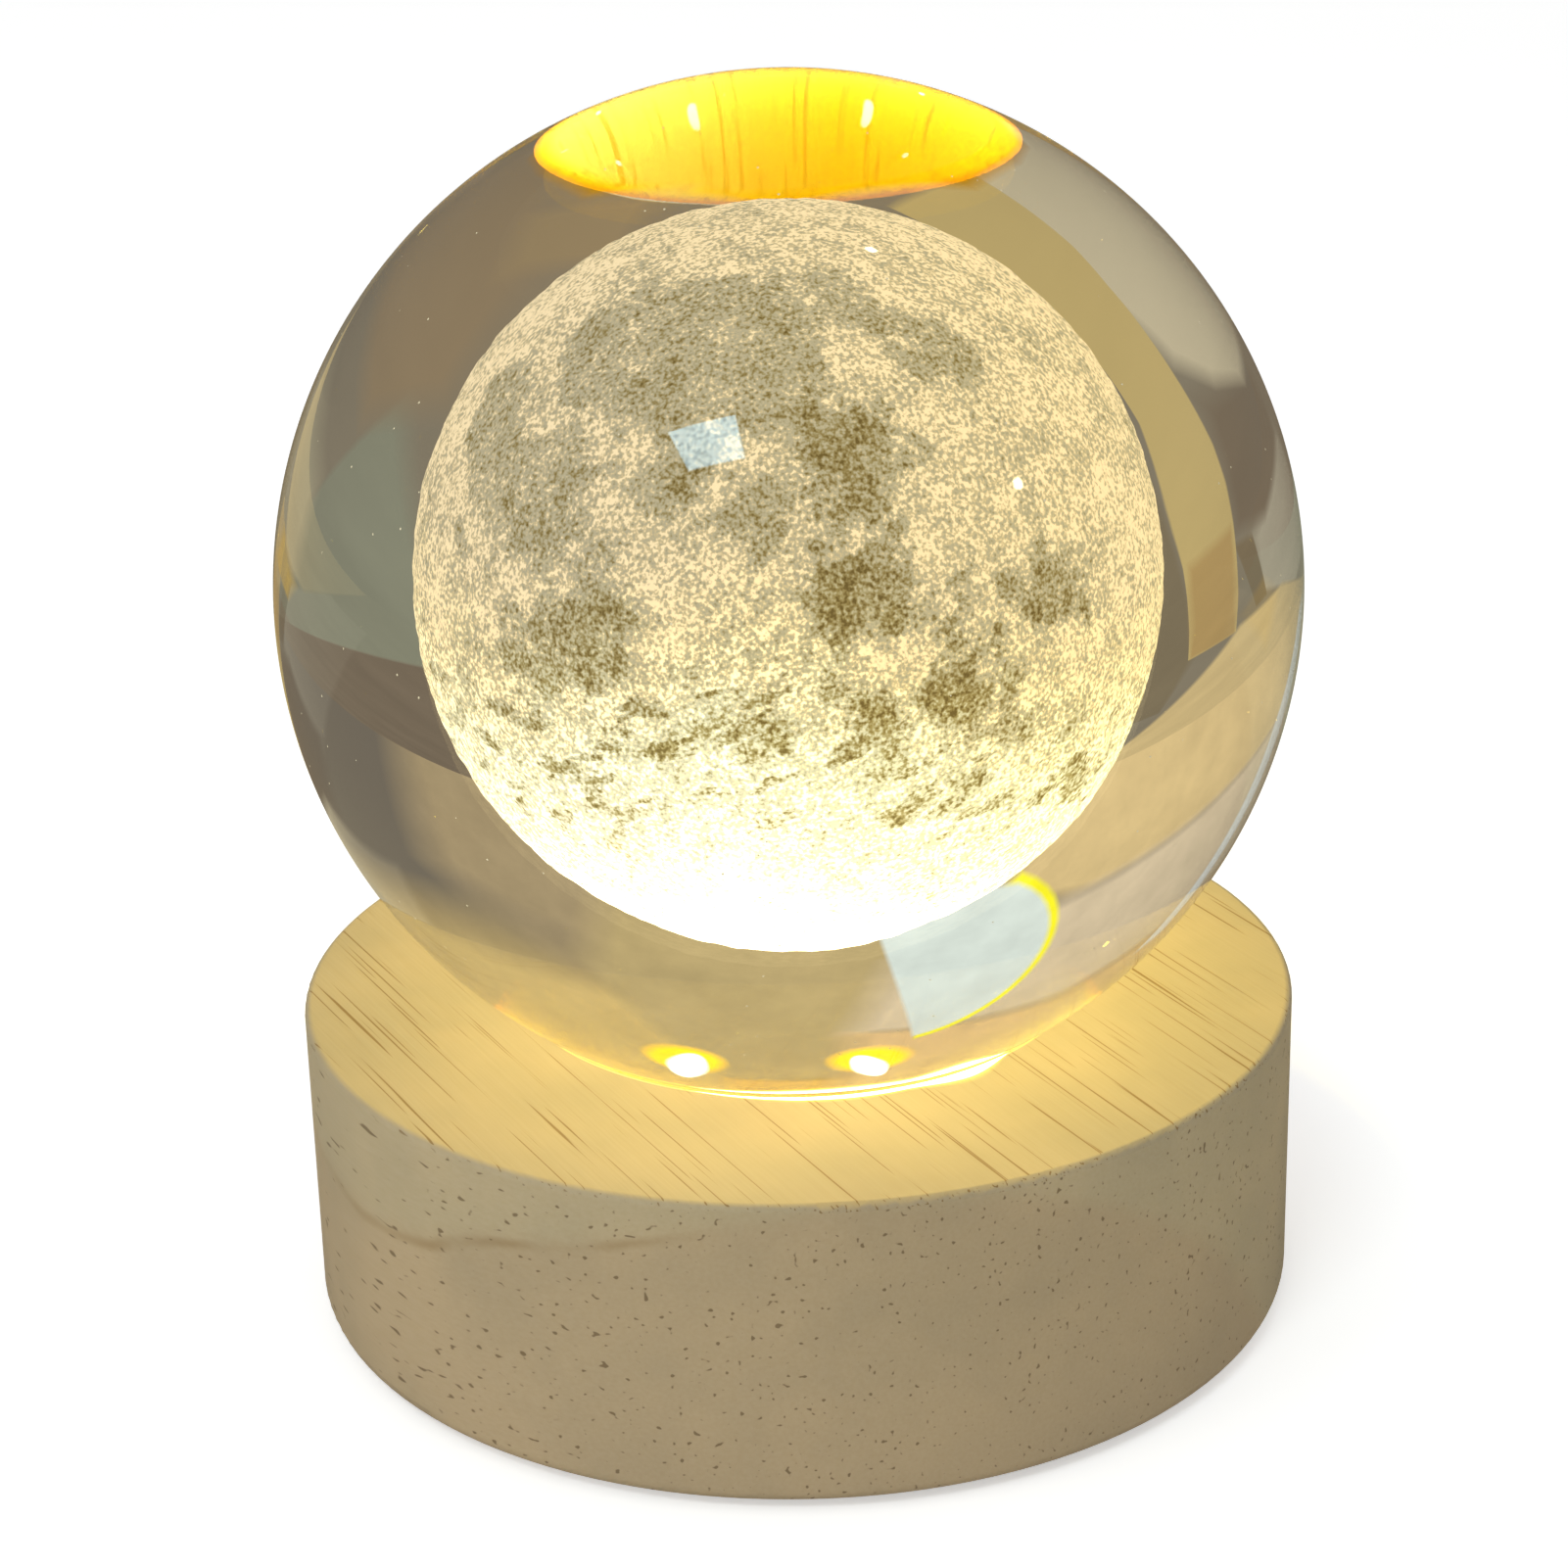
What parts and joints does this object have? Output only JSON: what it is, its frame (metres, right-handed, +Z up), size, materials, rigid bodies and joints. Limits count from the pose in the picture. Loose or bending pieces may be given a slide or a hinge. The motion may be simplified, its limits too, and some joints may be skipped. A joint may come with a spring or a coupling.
{
  "type": "crystal ball lamp",
  "caption": "Clear glass ball with an engraved moon inside, resting in the lit seat of a round wooden base with rear inlet and push switch.",
  "frame": {"origin": "centre of the circle that the four feet stand on, on the surface under the lamp", "axes": "+Z up through the ball's centre, -Y towards the viewer, +Y towards the rear ports"},
  "size_m": [0.08, 0.08, 0.099],
  "materials": {
    "beech": "turned and sanded, bare",
    "crystal_glass": "polished clear",
    "engraving": "laser-engraved frosted dots",
    "warm_led": "clear moulded lens",
    "circuit_board": "white solder mask",
    "chip_resistor": "fired ceramic chip",
    "solder": "bright solder",
    "zinc_steel": "zinc plated",
    "contact_brass": "bright",
    "port_plastic": "moulded black",
    "button_plastic": "moulded light grey",
    "red_insulation": "extruded",
    "white_insulation": "extruded",
    "black_insulation": "extruded",
    "cover_plastic": "fine moulded grain",
    "foot_rubber": "moulded"
  },
  "bodies": {
    "base": {"wood_base": "beech", "led_board": "circuit_board", "led_front_left": "warm_led", "led_front_right": "warm_led", "led_rear_left": "warm_led", "led_rear_right": "warm_led", "resistor_front": "chip_resistor", "resistor_rear": "chip_resistor", "resistor_left": "chip_resistor", "resistor_right": "chip_resistor", "solder_joints": "solder", "board_screws": "zinc_steel", "power_socket_housing": "port_plastic", "power_socket_pin": "contact_brass", "power_socket_contact": "contact_brass", "switch_housing": "port_plastic", "switch_spring": "zinc_steel", "switch_contact_block": "port_plastic", "switch_terminals": "contact_brass", "red_wire": "red_insulation", "white_wire": "white_insulation", "black_wire": "black_insulation", "bottom_cover": "cover_plastic", "cover_screws": "zinc_steel", "foot_front": "foot_rubber", "foot_rear": "foot_rubber", "foot_left": "foot_rubber", "foot_right": "foot_rubber"},
    "ball": {"crystal_ball": "crystal_glass", "engraved_moon": "engraving"},
    "button": {"switch_button": "button_plastic", "button_clip": "zinc_steel"}
  },
  "joints": [
    {"name": "ball_lift", "type": "slide", "parent": "base", "child": "ball", "axis": [0, 0, 1], "range_m": [0, 0.06]},
    {"name": "button_press", "type": "slide", "parent": "base", "child": "button", "axis": [0, -1, 0], "range_m": [0, 0.0015], "stiffness_N_per_m": 600, "deforming": ["switch_spring"]}
  ]
}
